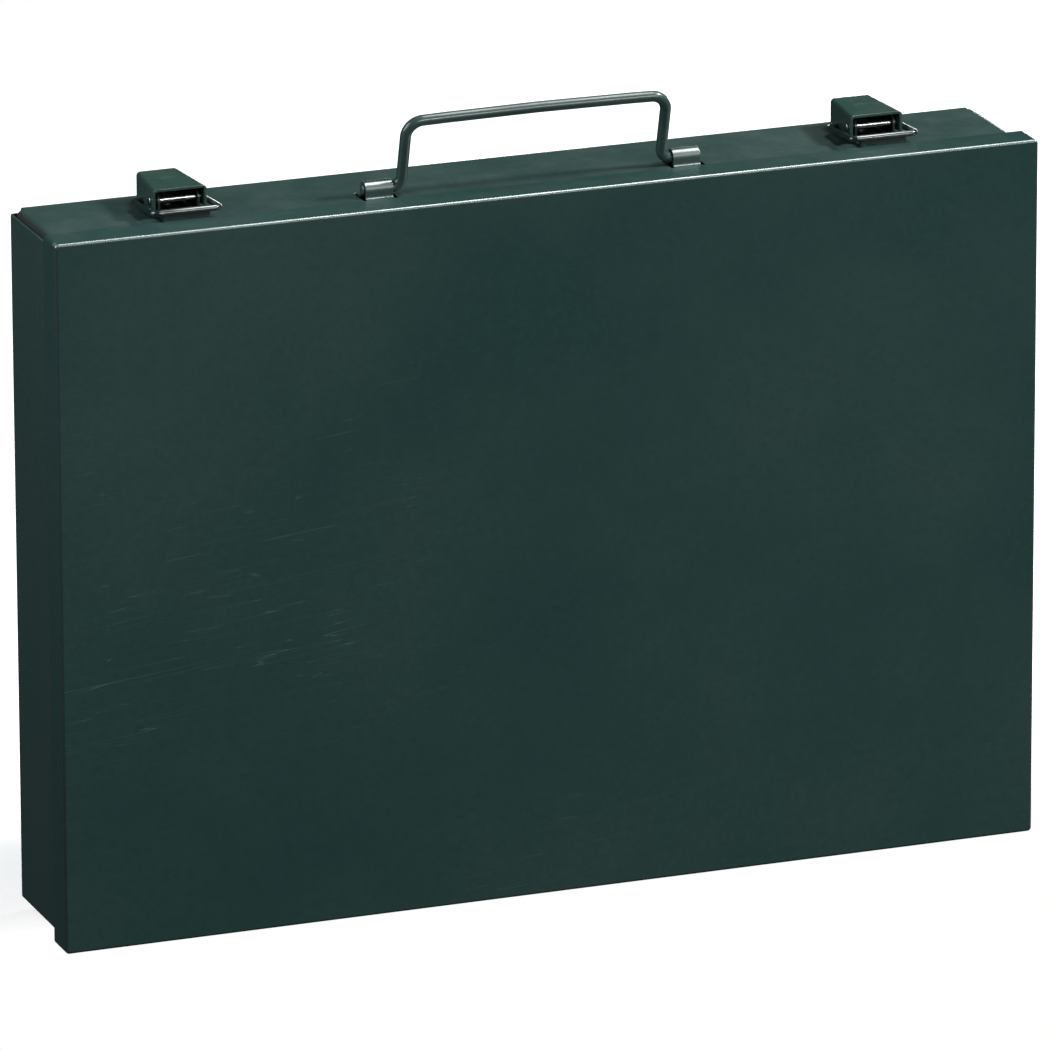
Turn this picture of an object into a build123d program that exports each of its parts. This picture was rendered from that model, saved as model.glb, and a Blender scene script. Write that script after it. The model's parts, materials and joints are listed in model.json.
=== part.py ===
from build123d import *
from math import atan2, cos, hypot, pi, radians, sin, tan
import os

os.makedirs("parts", exist_ok=True)

# A compartment box of folded sheet steel, standing on its hinge edge as it does when it is
# carried. X runs along the width, Y from the lid's face (front) to the back panel, Z upwards.
# The origin is the middle of the footprint, under the hinge barrel.

# Overall size, over the lid's flanges and from the lid's face to the back panel
box_width = 340.0
box_height = 240.0
box_depth = 51.0

# Sheet steel pans
sheet = 0.9
lid_flange = 12.0
lid_fold = 1.0
lid_corner = 1.4
body_fold = 1.5
lap_gap = 0.6
rim_gap = 0.6
tab_length = 13.0
tab_fold = 2.4
tab_gap = 0.5
tab_back_gap = 2.5
side_wall_drop = 2.0
weld_radius = 2.0
weld_sides = 8
weld_pitch = 24.0

# Piano hinge along the lower edge
hinge_pin_radius = 0.7
hinge_pin_fit = 0.05
hinge_pin_head = 0.4
hinge_pin_head_sides = 12
barrel_wall = 0.75
hinge_leaf = 0.6
hinge_leaf_width = 9.0
hinge_leaf_gap = 0.3
hinge_clear = 0.3
hinge_end_margin = 7.0
knuckle_pitch = 36.0
knuckle_gap = 0.3

# Carrying handle of round wire, and the loops lanced out of the upper wall for its feet
handle_wire_radius = 1.85
handle_wire_sides = 12
handle_fit = 0.08
handle_depth = 21.2
handle_lift = 0.6
handle_reach = 23.8
handle_crown = 1.0
handle_bar_straight = 6.3
handle_width = 90.0
handle_foot_bend = 3.6
handle_corner_bend = 5.5
handle_lean = 15.0
handle_foot_overhang = 0.6
loop_width = 9.4
loop_span = 11.0
loop_foot_fold = 1.0
lance_slit = 1.3

# Draw latches on the upper wall; the inset is measured from the lid's ends and depths are
# measured back from its face
latch_inset = 49.2
latch_sheet = 0.9
base_width = 14.4
base_tail_width = 11.8
base_front_depth = 17.0
base_back_depth = 38.5
base_lip_height = 4.0
base_fold = 1.2
ear_radius = 2.4
pivot_depth = 24.0
pivot_height = 5.5
pivot_radius = 1.1
pivot_fit = 0.05
pivot_head_radius = 1.5
pivot_head = 0.4
pivot_head_sides = 12
pivot_head_gap = 0.1
lever_front_depth = 20.5
lever_back_depth = 44.0
lever_top_height = 10.0
lever_front_width = 18.4
lever_back_width = 14.0
lever_fold = 1.3
lever_low_height = 0.4
lever_front_skirt = 3.0
lever_tip_height = 1.2
lever_recess_length = 9.0
lever_recess_width = 4.0
lever_recess = 0.3
bail_wire_radius = 1.0
bail_wire_sides = 8
bail_fit = 0.08
bail_width = 24.6
bail_pivot_depth = 34.5
bail_pivot_height = 2.7
bail_bar_depth = 13.2
bail_keeper_gap = 0.3
bail_end_bend = 1.6
bail_corner_bend = 2.0
bail_end_tuck = 0.5
keeper_width = 16.0
keeper_reach = 3.0
keeper_height = 1.5
keeper_fold = 1.0
rivet_radius = 1.5
rivet_fit = 0.05
rivet_sides = 12
rivet_head_radius = 2.4
rivet_head_chamfer = 0.5
rivet_head_height = 0.8
rivet_depths = (28.0, 35.0)

# Half-lapped dividers inside
divider_sheet = 0.7
divider_rows = 3
divider_columns = 3
divider_front_gap = 1.5
divider_end_gap = 0.3
divider_slot_gap = 0.1
divider_corner_cut = 1.2

# Levels and faces that follow from the sizes above
barrel_radius = hinge_pin_radius + hinge_pin_fit + barrel_wall
hinge_z = barrel_radius
barrel_top = hinge_z + barrel_radius
front_y = -box_depth / 2
back_y = box_depth / 2
lid_bottom = hinge_z
lid_top = lid_bottom + box_height
flange_back_y = front_y + lid_flange
hinge_y = flange_back_y + barrel_radius + hinge_clear
body_top = lid_top - sheet - lap_gap
body_bottom = lid_bottom + sheet + hinge_leaf + hinge_leaf_gap
body_side = box_width / 2 - sheet - lap_gap
rim_y = front_y + sheet + rim_gap
half_sheet = sheet / 2
tab_outer_x = body_side - sheet - tab_gap
wall_flat = tab_outer_x - tab_fold
inner_side = body_side - sheet
inner_top = body_top - sheet
inner_bottom = body_bottom + sheet
inner_back_y = back_y - sheet

handle_y = front_y + handle_depth
handle_z = body_top + handle_lift + handle_wire_radius
loop_radius = handle_wire_radius + handle_fit + half_sheet
foot_start = handle_width / 2 + handle_foot_bend
foot_end = foot_start + loop_width + handle_foot_overhang

latch_x = box_width / 2 - latch_inset
pivot_y = front_y + pivot_depth
pivot_z = body_top + pivot_height
bail_y = front_y + bail_pivot_depth
bail_z = body_top + bail_pivot_height
bail_bar_y = front_y + bail_bar_depth
bail_bar_z = lid_top + keeper_height + bail_keeper_gap + bail_wire_radius
lever_front_y = front_y + lever_front_depth
lever_back_y = front_y + lever_back_depth
lever_top = body_top + lever_top_height


def lever_half_width(y):
    """Half the lever's outside width at a place along its length"""
    along = (y - lever_front_y) / (lever_back_y - lever_front_y)
    return (lever_front_width + (lever_back_width - lever_front_width) * along) / 2


# The body: one strip makes the upper wall, back panel and lower wall, the other the two sides
with BuildPart() as body_pan:
    with BuildSketch(Plane.YZ.offset(-wall_flat)):
        with BuildLine():
            FilletPolyline(
                (rim_y, body_top - half_sheet),
                (back_y - half_sheet, body_top - half_sheet),
                (back_y - half_sheet, body_bottom + half_sheet),
                (rim_y, body_bottom + half_sheet),
                radius=body_fold - half_sheet,
            )
        trace(line_width=sheet)
    extrude(amount=2 * wall_flat)
    with BuildSketch(Plane.XY.offset(body_bottom + side_wall_drop)):
        with BuildLine():
            FilletPolyline(
                (-body_side + half_sheet, rim_y),
                (-body_side + half_sheet, back_y - half_sheet),
                (body_side - half_sheet, back_y - half_sheet),
                (body_side - half_sheet, rim_y),
                radius=body_fold - half_sheet,
            )
        trace(line_width=sheet)
    extrude(amount=body_top - body_bottom - 2 * side_wall_drop)

    # The ends of the upper and lower walls turn into tabs, spot-welded inside the side walls
    tab_back_y = inner_back_y - tab_back_gap
    for side in (-1, 1):
        for wall_z, inward in ((body_top, -1), (body_bottom, 1)):
            middle_z = wall_z + inward * half_sheet
            with BuildSketch(Plane.XZ.offset(-tab_back_y)):
                with BuildLine():
                    FilletPolyline(
                        (side * (wall_flat - tab_fold), middle_z),
                        (side * (tab_outer_x - half_sheet), middle_z),
                        (side * (tab_outer_x - half_sheet), wall_z + inward * tab_length),
                        radius=tab_fold - half_sheet,
                    )
                trace(line_width=sheet)
            extrude(amount=tab_back_y - rim_y)
            weld_z = wall_z + inward * (tab_fold + tab_length) / 2
            weld_x = side * (inner_side - tab_gap / 2)
            with BuildSketch(Plane.YZ.offset(weld_x)):
                with Locations(((tab_back_y + rim_y) / 2, weld_z)):
                    with GridLocations(weld_pitch, 0, 2, 1):
                        RegularPolygon(weld_radius, weld_sides)
            extrude(amount=(tab_gap + sheet) / 2, both=True)

    # Each loop is a strip between two slits, pushed out over the handle's foot
    for side in (-1, 1):
        loop_x = side * (foot_start + loop_width / 2)
        with BuildSketch(Plane.XY.offset(body_top)):
            with Locations((loop_x, handle_y)):
                Rectangle(loop_width + 2 * lance_slit, loop_span)
        extrude(amount=-sheet, mode=Mode.SUBTRACT)
        with BuildSketch(Plane.YZ.offset(loop_x - loop_width / 2)):
            with BuildLine():
                start = Line(
                    (handle_y - loop_span / 2, body_top - half_sheet),
                    (handle_y - loop_radius - loop_foot_fold, body_top - half_sheet),
                )
                rise = JernArc(start @ 1, start % 1, loop_foot_fold, 90)
                leg = Line(rise @ 1, (handle_y - loop_radius, handle_z))
                crown = JernArc(leg @ 1, leg % 1, loop_radius, -180)
                fall = Line(crown @ 1, (handle_y + loop_radius, body_top - half_sheet + loop_foot_fold))
                land = JernArc(fall @ 1, fall % 1, loop_foot_fold, 90)
                Line(land @ 1, (handle_y + loop_span / 2, body_top - half_sheet))
            trace(line_width=sheet)
        extrude(amount=loop_width)

    with BuildSketch(Plane.XY.offset(body_top)):
        with Locations(*[(side * latch_x, front_y + d) for side in (-1, 1) for d in rivet_depths]):
            RegularPolygon(rivet_radius + rivet_fit, rivet_sides)
    extrude(amount=-sheet, mode=Mode.SUBTRACT)
body_pan.part.label = "body_pan"
export_step(body_pan.part, "parts/body_pan.step")

# The lid: a shallow pan, with a keeper lip for each latch turned up from its upper flange
with BuildPart() as lid_pan:
    with BuildSketch(Plane.XZ.offset(-flange_back_y)):
        with Locations((0, (lid_top + lid_bottom) / 2)):
            RectangleRounded(box_width, box_height, lid_corner)
    extrude(amount=lid_flange)
    fillet(lid_pan.faces().sort_by(Axis.Y)[0].edges(), radius=lid_fold)
    with BuildSketch(Plane.XZ.offset(-flange_back_y)):
        with Locations((0, (lid_top + lid_bottom) / 2)):
            RectangleRounded(box_width - 2 * sheet, box_height - 2 * sheet, lid_corner - sheet)
    extrude(amount=lid_flange - sheet, mode=Mode.SUBTRACT)
    lip_y = flange_back_y + keeper_reach - half_sheet
    for side in (-1, 1):
        with BuildSketch(Plane.YZ.offset(side * latch_x - keeper_width / 2)):
            with BuildLine():
                FilletPolyline(
                    (flange_back_y - sheet, lid_top - half_sheet),
                    (lip_y, lid_top - half_sheet),
                    (lip_y, lid_top + keeper_height),
                    radius=keeper_fold,
                )
            trace(line_width=sheet)
        extrude(amount=keeper_width)
lid_pan.part.label = "lid_pan"
export_step(lid_pan.part, "parts/lid_pan.step")

# The hinge: knuckles take turns along the barrel, and the body has both ends
barrel_length = box_width - 2 * hinge_end_margin
knuckle_count = 2 * round((barrel_length / knuckle_pitch - 1) / 2) + 1
knuckle_step = barrel_length / knuckle_count


def make_hinge_leaf(facing, leaf_low, first_knuckle):
    """A leaf with every second knuckle; facing is 1 towards the back and -1 towards the lid"""
    leaf_top = leaf_low + hinge_leaf
    leaf_start = barrel_radius + hinge_clear
    with BuildPart() as leaf:
        with BuildSketch(Plane.XY.offset(leaf_low)):
            with Locations((0, hinge_y + facing * (leaf_start + hinge_leaf_width / 2))):
                Rectangle(barrel_length, hinge_leaf_width)
        extrude(amount=hinge_leaf)
        for index in range(first_knuckle, knuckle_count, 2):
            knuckle_x = -barrel_length / 2 + index * knuckle_step + knuckle_gap / 2
            tongue_low = min(leaf_low, barrel_top - hinge_leaf)
            with BuildSketch(Plane.YZ.offset(knuckle_x)):
                with Locations((hinge_y, hinge_z)):
                    Circle(barrel_radius)
                with Locations((hinge_y + facing * leaf_start / 2, (tongue_low + leaf_top) / 2)):
                    Rectangle(leaf_start, leaf_top - tongue_low)
            extrude(amount=knuckle_step - knuckle_gap)
        with Locations((0, hinge_y, hinge_z)):
            Cylinder(
                hinge_pin_radius + hinge_pin_fit,
                barrel_length,
                rotation=(0, 90, 0),
                mode=Mode.SUBTRACT,
            )
    return leaf.part


body_hinge_leaf = make_hinge_leaf(1, body_bottom - hinge_leaf, 0)
body_hinge_leaf.label = "body_hinge_leaf"
export_step(body_hinge_leaf, "parts/body_hinge_leaf.step")

lid_hinge_leaf = make_hinge_leaf(-1, lid_bottom + sheet, 1)
lid_hinge_leaf.label = "lid_hinge_leaf"
export_step(lid_hinge_leaf, "parts/lid_hinge_leaf.step")

with BuildPart() as hinge_pin:
    with BuildSketch(Plane.YZ.offset(-barrel_length / 2)):
        with Locations((hinge_y, hinge_z)):
            Circle(hinge_pin_radius)
    extrude(amount=barrel_length)
    barrel_end = (barrel_length - knuckle_gap) / 2
    for head_x in (-barrel_end - hinge_pin_head, barrel_end):
        with BuildSketch(Plane.YZ.offset(head_x)):
            with Locations((hinge_y, hinge_z)):
                RegularPolygon(hinge_pin_radius + barrel_wall / 2, hinge_pin_head_sides)
        extrude(amount=hinge_pin_head)
hinge_pin.part.label = "hinge_pin"
export_step(hinge_pin.part, "parts/hinge_pin.step")

# The handle: one wire, its feet turned outwards through the loops. Its bar runs straight out of
# each corner and is crowned between by one wide bend.
lean = radians(handle_lean)
handle_plane = Plane(origin=(0, handle_y, handle_z), x_dir=(1, 0, 0), z_dir=(0, -cos(lean), -sin(lean)))
half_legs = handle_width / 2
crown_slope = atan2(handle_crown, half_legs)
corner_run = handle_corner_bend * tan((pi / 2 - crown_slope) / 2)
crown_run = hypot(half_legs, handle_crown) - corner_run - handle_bar_straight
crown_radius = crown_run / tan(crown_slope)
with BuildPart() as carry_handle:
    with BuildLine(handle_plane) as handle_path:
        FilletPolyline(
            (-foot_end, 0),
            (-half_legs, 0),
            (-half_legs, handle_reach),
            (0, handle_reach + handle_crown),
            (half_legs, handle_reach),
            (half_legs, 0),
            (foot_end, 0),
            radius=[
                handle_foot_bend,
                handle_corner_bend,
                crown_radius,
                handle_corner_bend,
                handle_foot_bend,
            ],
        )
    foot_plane = Plane(handle_path.line @ 0, x_dir=handle_plane.z_dir, z_dir=handle_path.line % 0)
    with BuildSketch(foot_plane):
        RegularPolygon(handle_wire_radius, handle_wire_sides, rotation=180 / handle_wire_sides)
    sweep()
carry_handle.part.label = "carry_handle"
export_step(carry_handle.part, "parts/carry_handle.step")

# The draw latches, alike on both sides of the handle
for hand, side in (("left", -1), ("right", 1)):
    latch_middle = side * latch_x

    # The base is one folded strip: a turned-up front lip, the plate and two ears for the pin
    with BuildPart() as latch_base:
        with BuildSketch(Plane.YZ.offset(latch_middle - base_width / 2)):
            with BuildLine():
                FilletPolyline(
                    (front_y + base_front_depth + latch_sheet / 2, body_top + base_lip_height),
                    (front_y + base_front_depth + latch_sheet / 2, body_top + latch_sheet / 2),
                    (front_y + base_back_depth, body_top + latch_sheet / 2),
                    radius=base_fold,
                )
            trace(line_width=latch_sheet)
        extrude(amount=base_width)
        with BuildSketch(Plane.XY.offset(body_top)) as tail_sides:
            tail_front_y = pivot_y + ear_radius
            tail_back_y = front_y + base_back_depth
            with Locations((latch_middle, (tail_front_y + tail_back_y) / 2)):
                with GridLocations((base_width + base_tail_width) / 2, 0, 2, 1):
                    Rectangle((base_width - base_tail_width) / 2, tail_back_y - tail_front_y)
        extrude(amount=latch_sheet, mode=Mode.SUBTRACT)
        tail_corners = latch_base.edges().filter_by(Axis.Z).group_by(Axis.Y)[-1]
        fillet(tail_corners, radius=base_fold)
        for ear_x in (latch_middle - base_width / 2, latch_middle + base_width / 2 - latch_sheet):
            with BuildSketch(Plane.YZ.offset(ear_x)):
                with Locations((pivot_y, pivot_z)):
                    Circle(ear_radius)
                with Locations((pivot_y, (body_top + pivot_z) / 2)):
                    Rectangle(2 * ear_radius, pivot_height)
            extrude(amount=latch_sheet)
        with Locations((latch_middle, pivot_y, pivot_z)):
            Cylinder(pivot_radius, base_width, rotation=(0, 90, 0), mode=Mode.SUBTRACT)
        with BuildSketch(Plane.XY.offset(body_top)):
            with Locations(*[(latch_middle, front_y + depth) for depth in rivet_depths]):
                RegularPolygon(rivet_radius + rivet_fit, rivet_sides)
        extrude(amount=latch_sheet, mode=Mode.SUBTRACT)
    latch_base.part.label = f"{hand}_latch_base"
    export_step(latch_base.part, f"parts/{hand}_latch_base.step")

    # The pivot pin is fast in the ears, with a head outside each wall of the lever
    head_start = lever_half_width(pivot_y - pivot_head_radius) + pivot_head_gap
    with BuildPart() as latch_pin:
        with Locations((latch_middle, pivot_y, pivot_z)):
            Cylinder(pivot_radius, 2 * head_start, rotation=(0, 90, 0))
        for head_x in (latch_middle - head_start - pivot_head, latch_middle + head_start):
            with BuildSketch(Plane.YZ.offset(head_x)):
                with Locations((pivot_y, pivot_z)):
                    RegularPolygon(pivot_head_radius, pivot_head_sides)
            extrude(amount=pivot_head)
    latch_pin.part.label = f"{hand}_latch_pin"
    export_step(latch_pin.part, f"parts/{hand}_latch_pin.step")

    # The lever is a tapered hood, open in front and below, with a shallow recess on top
    with BuildPart() as latch_lever:
        for inset, mode in ((0, Mode.ADD), (latch_sheet, Mode.SUBTRACT)):
            reach = 2 * inset
            with BuildSketch(Plane.XY.offset(body_top + lever_low_height - reach)):
                with BuildLine():
                    Polyline(
                        (latch_middle - lever_half_width(lever_front_y) + inset, lever_front_y - reach),
                        (latch_middle + lever_half_width(lever_front_y) - inset, lever_front_y - reach),
                        (latch_middle + lever_half_width(lever_back_y) - inset, lever_back_y - inset),
                        (latch_middle - lever_half_width(lever_back_y) + inset, lever_back_y - inset),
                        close=True,
                    )
                make_face()
            extrude(amount=lever_top - inset - body_top - lever_low_height + reach, mode=mode)
            if mode is Mode.ADD:
                upright = latch_lever.edges().filter_by(Axis.Z).group_by(Axis.Y)[-1]
                fillet(upright, radius=lever_fold)
                rim = latch_lever.faces().sort_by(Axis.Z)[-1].edges()
                fillet(rim.sort_by(Axis.Y)[1:], radius=lever_fold)
        with BuildSketch(Plane.YZ.offset(latch_middle - lever_front_width)):
            with BuildLine():
                Polyline(
                    (lever_front_y, lever_top),
                    (lever_front_y, pivot_z + pivot_radius),
                    (pivot_y - pivot_radius, body_top + lever_front_skirt),
                    (pivot_y + ear_radius, body_top + lever_front_skirt),
                    (bail_y - 2 * bail_wire_radius, body_top + lever_low_height),
                    (bail_y + 3 * bail_wire_radius, body_top + lever_low_height),
                    (lever_back_y, body_top + lever_tip_height),
                    (lever_back_y, lever_top),
                    close=True,
                )
            make_face()
        extrude(amount=2 * lever_front_width, mode=Mode.INTERSECT)
        with BuildSketch(Plane.XY.offset(lever_top)):
            with Locations((latch_middle, (lever_front_y + lever_back_y) / 2)):
                SlotOverall(lever_recess_length, lever_recess_width)
        extrude(amount=-lever_recess, mode=Mode.SUBTRACT)
        with Locations((latch_middle, pivot_y, pivot_z)):
            Cylinder(
                pivot_radius + pivot_fit,
                2 * lever_front_width,
                rotation=(0, 90, 0),
                mode=Mode.SUBTRACT,
            )
        with Locations((latch_middle, bail_y, bail_z)):
            Cylinder(
                bail_wire_radius + bail_fit,
                2 * lever_front_width,
                rotation=(0, 90, 0),
                mode=Mode.SUBTRACT,
            )
    latch_lever.part.label = f"{hand}_latch_lever"
    export_step(latch_lever.part, f"parts/{hand}_latch_lever.step")

    # The bail is a bent wire whose ends hook into the lever's side walls
    arm_x = bail_width / 2 - bail_wire_radius
    end_x = lever_half_width(bail_y) - latch_sheet - bail_end_tuck
    arm_y = bail_bar_y - bail_y
    arm_z = bail_bar_z - bail_z
    arm_length = hypot(arm_y, arm_z)
    bail_plane = Plane(
        origin=(latch_middle, bail_y, bail_z), x_dir=(1, 0, 0), z_dir=(0, -arm_z, arm_y)
    )
    with BuildPart() as latch_bail:
        with BuildLine(bail_plane) as bail_path:
            FilletPolyline(
                (-end_x, 0),
                (-arm_x, 0),
                (-arm_x, arm_length),
                (arm_x, arm_length),
                (arm_x, 0),
                (end_x, 0),
                radius=[bail_end_bend, bail_corner_bend, bail_corner_bend, bail_end_bend],
            )
        with BuildSketch(Plane(bail_path.line @ 0, x_dir=bail_plane.z_dir, z_dir=bail_path.line % 0)):
            RegularPolygon(bail_wire_radius, bail_wire_sides, rotation=180 / bail_wire_sides)
        sweep()
    latch_bail.part.label = f"{hand}_latch_bail"
    export_step(latch_bail.part, f"parts/{hand}_latch_bail.step")

    # Two rivets hold each base; their heads show on the base and inside the box
    head_top = body_top + latch_sheet
    with BuildPart() as latch_rivets:
        for depth in rivet_depths:
            rivet_y = front_y + depth
            with BuildSketch(Plane((latch_middle, rivet_y, inner_top))):
                RegularPolygon(rivet_radius, rivet_sides)
            extrude(amount=head_top - inner_top)
            for head_z, outward in ((head_top, 1), (inner_top, -1)):
                with BuildSketch(Plane((latch_middle, rivet_y, head_z), z_dir=(0, 0, outward))):
                    RegularPolygon(rivet_head_radius, rivet_sides)
                extrude(amount=rivet_head_height)
        for end in (0, -1):
            crowns = latch_rivets.faces().group_by(Axis.Z)[end]
            chamfer(crowns.edges(), length=rivet_head_chamfer)
    latch_rivets.part.label = f"{hand}_latch_rivets"
    export_step(latch_rivets.part, f"parts/{hand}_latch_rivets.step")

# The dividers: rows are slotted from the front and cross dividers from the back
divider_front_y = rim_y + divider_front_gap
divider_height = inner_back_y - divider_front_y
row_length = 2 * (inner_side - divider_end_gap)
column_length = inner_top - inner_bottom - 2 * divider_end_gap
row_pitch = (inner_top - inner_bottom) / (divider_rows + 1)
column_pitch = 2 * inner_side / (divider_columns + 1)
slot_width = divider_sheet + 2 * divider_slot_gap
slot_depth = divider_height / 2 + divider_slot_gap

for row in range(divider_rows):
    row_z = inner_bottom + (row + 1) * row_pitch
    with BuildPart() as row_divider:
        with BuildSketch(Plane.XY.offset(row_z - divider_sheet / 2)) as plate:
            with Locations((0, divider_front_y + divider_height / 2)):
                Rectangle(row_length, divider_height)
            chamfer(plate.vertices().group_by(Axis.Y)[-1], length=divider_corner_cut)
            with Locations((0, divider_front_y + slot_depth / 2)):
                with GridLocations(column_pitch, 0, divider_columns, 1):
                    Rectangle(slot_width, slot_depth, mode=Mode.SUBTRACT)
        extrude(amount=divider_sheet)
    row_divider.part.label = f"row_divider_{row + 1}"
    export_step(row_divider.part, f"parts/row_divider_{row + 1}.step")

for column in range(divider_columns):
    column_x = -inner_side + (column + 1) * column_pitch
    with BuildPart() as cross_divider:
        with BuildSketch(Plane.YZ.offset(column_x - divider_sheet / 2)) as plate:
            with Locations((divider_front_y + divider_height / 2, (inner_top + inner_bottom) / 2)):
                Rectangle(divider_height, column_length)
            chamfer(plate.vertices().group_by(Axis.X)[-1], length=divider_corner_cut)
            with Locations((inner_back_y - slot_depth / 2, (inner_top + inner_bottom) / 2)):
                with GridLocations(0, row_pitch, 1, divider_rows):
                    Rectangle(slot_depth, slot_width, mode=Mode.SUBTRACT)
        extrude(amount=divider_sheet)
    cross_divider.part.label = f"cross_divider_{column + 1}"
    export_step(cross_divider.part, f"parts/cross_divider_{column + 1}.step")
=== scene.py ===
import json
import math

import bmesh
import bpy
from mathutils import Matrix, Vector


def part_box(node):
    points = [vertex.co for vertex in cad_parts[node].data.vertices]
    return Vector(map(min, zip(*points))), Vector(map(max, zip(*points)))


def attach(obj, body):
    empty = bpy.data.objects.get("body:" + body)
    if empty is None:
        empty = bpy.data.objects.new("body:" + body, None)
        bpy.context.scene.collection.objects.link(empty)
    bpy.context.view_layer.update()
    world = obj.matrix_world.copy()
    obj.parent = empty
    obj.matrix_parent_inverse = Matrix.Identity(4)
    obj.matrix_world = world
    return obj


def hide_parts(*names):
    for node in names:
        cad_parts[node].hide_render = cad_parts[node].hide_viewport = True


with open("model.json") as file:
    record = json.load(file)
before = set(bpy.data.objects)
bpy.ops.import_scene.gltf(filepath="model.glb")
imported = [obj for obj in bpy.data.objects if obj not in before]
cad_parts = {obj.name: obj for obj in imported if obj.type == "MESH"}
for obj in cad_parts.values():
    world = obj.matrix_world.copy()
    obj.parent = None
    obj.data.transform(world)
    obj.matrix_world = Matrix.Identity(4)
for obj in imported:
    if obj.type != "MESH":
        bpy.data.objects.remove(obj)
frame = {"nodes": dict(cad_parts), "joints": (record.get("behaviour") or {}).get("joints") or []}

bl_info = {
    "name": "Compartment box",
    "version": (1, 0, 0),
    "blender": (4, 5, 0),
    "location": "View3D > Sidebar > Box",
    "description": "Dresses a folded steel compartment box around its fixed frame",
    "category": "Add Mesh",
}

MM = 0.001
QUARTER = math.pi / 2
X_AXIS = Vector((1, 0, 0))
HANDS = ("left", "right")
# Heights of the body's upper wall and of the lid's upper flange
WALL_TOP = 240.0 * MM
FLANGE_TOP = 241.5 * MM
# Near-black for painted shade, also the colour of the body's dark specks
SHADE_AND_SPECK_COLOUR = (0.0030, 0.0060, 0.0055, 1)
DUST = (0.20, 0.22, 0.20, 1)
# Dark specks on the upper wall: place and radius in millimetres, and depth of colour
SPECKS = ((87.2, 9.7, 1.0, 0.7), (150.2, 0.6, 0.8, 0.3), (80.7, 18.2, 0.9, 0.3))
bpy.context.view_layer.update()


def joint_place(name):
    """A point on the axis of one of the frame's joints"""
    for joint in frame["joints"]:
        if joint["name"] == name:
            return Vector(joint["pos_m"])
    raise ValueError("no joint named " + name)


# Sizes and colours


class StageLook(bpy.types.PropertyGroup):
    """The camera, the floor and the light from all round"""

    azimuth: bpy.props.FloatProperty(
        name="Azimuth", description="Camera's angle round the box, in degrees", default=-20.586
    )
    elevation: bpy.props.FloatProperty(
        name="Elevation", description="Camera's angle above the floor, in degrees", default=17.662
    )
    roll: bpy.props.FloatProperty(name="Roll", description="Camera's roll, in degrees", default=-0.192)
    distance: bpy.props.FloatProperty(
        name="Distance", description="From the camera to the box", default=3.9438, unit="LENGTH"
    )
    lens: bpy.props.FloatProperty(name="Lens", description="Focal length in millimetres", default=412.1)
    floor: bpy.props.FloatVectorProperty(
        name="Floor", description="Colour of the floor", subtype="COLOR", default=(0.84, 0.84, 0.835)
    )
    ambient: bpy.props.FloatProperty(
        name="Ambient", description="Light that comes from all round", default=0.24
    )
    sheen: bpy.props.FloatProperty(
        name="Sheen", description="Brightness of the room that glossy paint mirrors", default=0.03
    )


class FinishLook(bpy.types.PropertyGroup):
    """Colours of the enamels and the steels"""

    body: bpy.props.FloatVectorProperty(
        name="Body", description="Enamel of the body", subtype="COLOR", default=(0.0138, 0.0345, 0.0308)
    )
    body_patch: bpy.props.FloatVectorProperty(
        name="Body patches", description="Greyer patches in the body's enamel", subtype="COLOR",
        default=(0.0152, 0.0358, 0.0322),
    )
    lid: bpy.props.FloatVectorProperty(
        name="Lid", description="Enamel of the lid", subtype="COLOR", default=(0.0100, 0.0322, 0.0292)
    )
    lid_patch: bpy.props.FloatVectorProperty(
        name="Lid patches", description="Paler patches in the lid's enamel", subtype="COLOR",
        default=(0.0128, 0.0352, 0.0326),
    )
    handle: bpy.props.FloatVectorProperty(
        name="Handle", description="Enamel of the handle's wire", subtype="COLOR",
        default=(0.0260, 0.0480, 0.0440),
    )
    wire: bpy.props.FloatVectorProperty(
        name="Bail wire", description="Enamel of the bails", subtype="COLOR",
        default=(0.0055, 0.0130, 0.0122),
    )
    latch: bpy.props.FloatVectorProperty(
        name="Latch", description="Enamel of the latches", subtype="COLOR",
        default=(0.0145, 0.0395, 0.0300),
    )
    inside: bpy.props.FloatVectorProperty(
        name="Dividers", description="Enamel of the dividers", subtype="COLOR",
        default=(0.0260, 0.0520, 0.0480),
    )
    # Also laid on burnished folds, partly as a painted highlight
    bare: bpy.props.FloatVectorProperty(
        name="Bare steel", description="Steel where the enamel is rubbed off", subtype="COLOR",
        default=(0.27, 0.315, 0.30),
    )
    pin: bpy.props.FloatVectorProperty(
        name="Pins", description="Steel of the pins", subtype="COLOR", default=(0.42, 0.44, 0.43)
    )
    # Painted shade: the rivets' steel is darkened to the shade inside the levers
    rivet: bpy.props.FloatVectorProperty(
        name="Rivets", description="Tarnished steel of the rivets", subtype="COLOR",
        default=(0.085, 0.098, 0.094),
    )


class HandleSize(bpy.types.PropertyGroup):
    """Sizes of the handle's wire"""

    wire: bpy.props.FloatProperty(
        name="Wire radius", description="Radius of the handle's wire", default=1.85 * MM, unit="LENGTH"
    )
    width: bpy.props.FloatProperty(
        name="Width", description="Between the middles of the legs", default=90.0 * MM, unit="LENGTH"
    )
    reach: bpy.props.FloatProperty(
        name="Reach", description="From the feet to the bar's ends", default=23.8 * MM, unit="LENGTH"
    )
    crown: bpy.props.FloatProperty(
        name="Crown", description="How far the bar rises in its middle", default=0.96 * MM,
        unit="LENGTH",
    )
    lean: bpy.props.FloatProperty(
        name="Lean", description="How far the handle leans to the front", default=math.radians(15),
        subtype="ANGLE",
    )
    foot_bend: bpy.props.FloatProperty(
        name="Foot bend", description="Bend from a leg to its foot", default=3.6 * MM, unit="LENGTH"
    )
    corner_bend: bpy.props.FloatProperty(
        name="Corner bend", description="Bend from a leg to the bar", default=5.5 * MM, unit="LENGTH"
    )


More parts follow.
